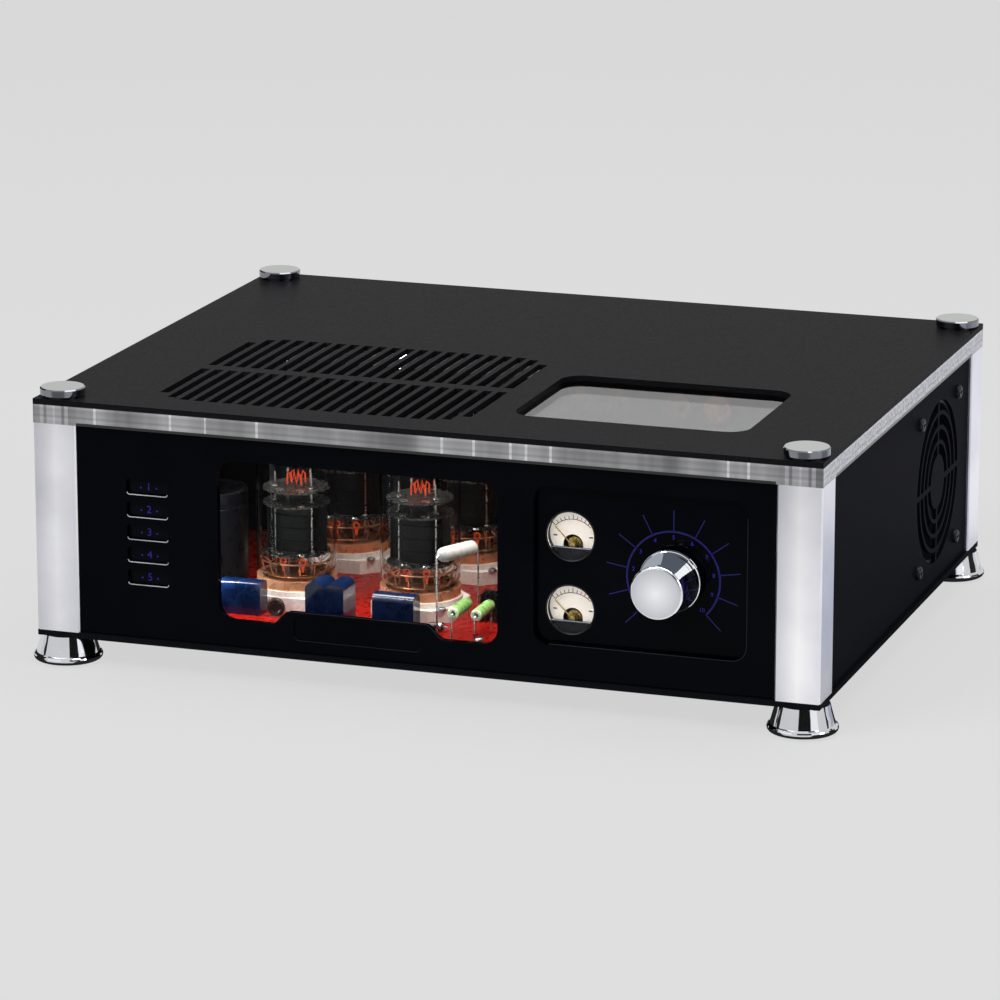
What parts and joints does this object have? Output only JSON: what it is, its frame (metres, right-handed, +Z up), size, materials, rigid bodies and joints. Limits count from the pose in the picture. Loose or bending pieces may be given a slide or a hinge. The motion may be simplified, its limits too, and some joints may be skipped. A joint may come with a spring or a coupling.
{
  "type": "integrated tube amplifier",
  "caption": "Low box-shaped tube amplifier with bright corner columns, a glossy front with a window over glowing tubes, level meters, source keys and a volume knob.",
  "frame": {"origin": "on the floor under the middle of the whole outline", "axes": "+X to the right seen from the front, +Y from front to rear, +Z up"},
  "size_m": [0.443, 0.386, 0.1495],
  "materials": {
    "black_base": "satin powder coat",
    "column_aluminium": "bright anodised",
    "chrome": "polished plating",
    "rubber": "matte",
    "rod_steel": "plain",
    "screw_steel": "blackened",
    "clear_acrylic": "clear, polished edges",
    "black_lid": "satin",
    "gloss_black": "polished",
    "side_black": "satin",
    "fan_plastic": "moulded",
    "pot_steel": "plain",
    "key_black": "smoked, polished",
    "board_green": "solder resist",
    "dark_plastic": "moulded",
    "dial_cream": "printed",
    "needle_brass": "plain",
    "board_red": "solder resist",
    "pillar_brass": "plain",
    "socket_ceramic": "fired",
    "ring_copper": "plated copper",
    "tube_glass": "clear",
    "electrode_steel": "blackened",
    "capacitor_blue": "moulded",
    "resistor_green": "glazed",
    "resistor_white": "glazed",
    "winding_amber": "varnished winding on a steel core",
    "core_dark": "varnished laminations",
    "can_navy": "shrink sleeve",
    "socket_gold": "gold plated",
    "cap_red": "moulded",
    "cap_black": "moulded"
  },
  "bodies": {
    "chassis": {"base_plate": "black_base", "column_front_left": "column_aluminium", "column_front_right": "column_aluminium", "column_rear_left": "column_aluminium", "column_rear_right": "column_aluminium", "feet": "chrome", "foot_pads": "rubber", "tie_rods": "rod_steel", "cap_nuts": "chrome", "clear_sheet": "clear_acrylic", "lid_sheet": "black_lid", "front_panel": "gloss_black", "window_pane": "clear_acrylic", "name_plaque": "gloss_black", "control_plate": "gloss_black", "left_panel": "side_black", "right_panel": "side_black", "rear_panel": "side_black", "fan_frame": "fan_plastic", "fan_screws": "screw_steel", "volume_pot": "pot_steel", "pot_nut": "rod_steel", "key_board": "board_green", "key_switches": "dark_plastic", "meter_case_upper": "dark_plastic", "meter_case_lower": "dark_plastic", "meter_dials": "dial_cream", "meter_lenses": "clear_acrylic", "circuit_board": "board_red", "board_pillars": "pillar_brass", "tube_sockets": "socket_ceramic", "tube_rings": "ring_copper", "tube_glasses": "tube_glass", "tube_cages": "electrode_steel", "film_capacitors": "capacitor_blue", "power_resistors": "resistor_green", "ceramic_resistor": "resistor_white", "mains_transformer": "winding_amber", "transformer_clamp": "rod_steel", "output_transformers": "core_dark", "smoothing_capacitors": "can_navy", "input_sockets": "socket_gold", "speaker_posts": "socket_gold", "mains_inlet": "dark_plastic", "switch_frame": "dark_plastic"},
    "volume": {"volume_knob": "chrome", "volume_shaft": "rod_steel"},
    "fan": {"fan_rotor": "fan_plastic"},
    "rocker": {"switch_rocker": "dark_plastic"},
    "upper_needle": {"needle_upper": "needle_brass"},
    "lower_needle": {"needle_lower": "needle_brass"},
    "key_1_body": {"key_1": "key_black"},
    "key_2_body": {"key_2": "key_black"},
    "key_3_body": {"key_3": "key_black"},
    "key_4_body": {"key_4": "key_black"},
    "key_5_body": {"key_5": "key_black"},
    "post_1_cap": {"post_cap_1": "cap_red"},
    "post_2_cap": {"post_cap_2": "cap_black"},
    "post_3_cap": {"post_cap_3": "cap_red"},
    "post_4_cap": {"post_cap_4": "cap_black"}
  },
  "joints": [
    {"name": "volume_turn", "type": "hinge", "parent": "chassis", "child": "volume", "pos_m": [0.1355, -0.163, 0.076], "axis": [0, 1, 0], "range_deg": [0, 270]},
    {"name": "key_1_press", "type": "slide", "parent": "chassis", "child": "key_1_body", "axis": [0, 1, 0], "range_m": [0, 0.0015], "stiffness_N_per_m": 300},
    {"name": "key_2_press", "type": "slide", "parent": "chassis", "child": "key_2_body", "axis": [0, 1, 0], "range_m": [0, 0.0015], "stiffness_N_per_m": 300},
    {"name": "key_3_press", "type": "slide", "parent": "chassis", "child": "key_3_body", "axis": [0, 1, 0], "range_m": [0, 0.0015], "stiffness_N_per_m": 300},
    {"name": "key_4_press", "type": "slide", "parent": "chassis", "child": "key_4_body", "axis": [0, 1, 0], "range_m": [0, 0.0015], "stiffness_N_per_m": 300},
    {"name": "key_5_press", "type": "slide", "parent": "chassis", "child": "key_5_body", "axis": [0, 1, 0], "range_m": [0, 0.0015], "stiffness_N_per_m": 300},
    {"name": "upper_needle_swing", "type": "hinge", "parent": "chassis", "child": "upper_needle", "pos_m": [0.0804, -0.155, 0.088], "axis": [0, 1, 0], "range_deg": [0, 90], "stiffness_Nm_per_rad": 0.0002},
    {"name": "lower_needle_swing", "type": "hinge", "parent": "chassis", "child": "lower_needle", "pos_m": [0.0804, -0.155, 0.049], "axis": [0, 1, 0], "range_deg": [0, 90], "stiffness_Nm_per_rad": 0.0002},
    {"name": "fan_spin", "type": "hinge", "parent": "chassis", "child": "fan", "pos_m": [0.2, 0.078, 0.075], "axis": [1, 0, 0], "continuous": true},
    {"name": "rocker_tip", "type": "hinge", "parent": "chassis", "child": "rocker", "pos_m": [0.148, 0.168, 0.0965], "axis": [1, 0, 0], "range_deg": [0, 20]},
    {"name": "post_1_turn", "type": "hinge", "parent": "chassis", "child": "post_1_cap", "pos_m": [-0.022, 0.18, 0.0765], "axis": [0, 1, 0], "range_deg": [0, 360]},
    {"name": "post_2_turn", "type": "hinge", "parent": "chassis", "child": "post_2_cap", "pos_m": [0.002, 0.18, 0.0765], "axis": [0, 1, 0], "range_deg": [0, 360]},
    {"name": "post_3_turn", "type": "hinge", "parent": "chassis", "child": "post_3_cap", "pos_m": [0.038, 0.18, 0.0765], "axis": [0, 1, 0], "range_deg": [0, 360]},
    {"name": "post_4_turn", "type": "hinge", "parent": "chassis", "child": "post_4_cap", "pos_m": [0.062, 0.18, 0.0765], "axis": [0, 1, 0], "range_deg": [0, 360]}
  ]
}
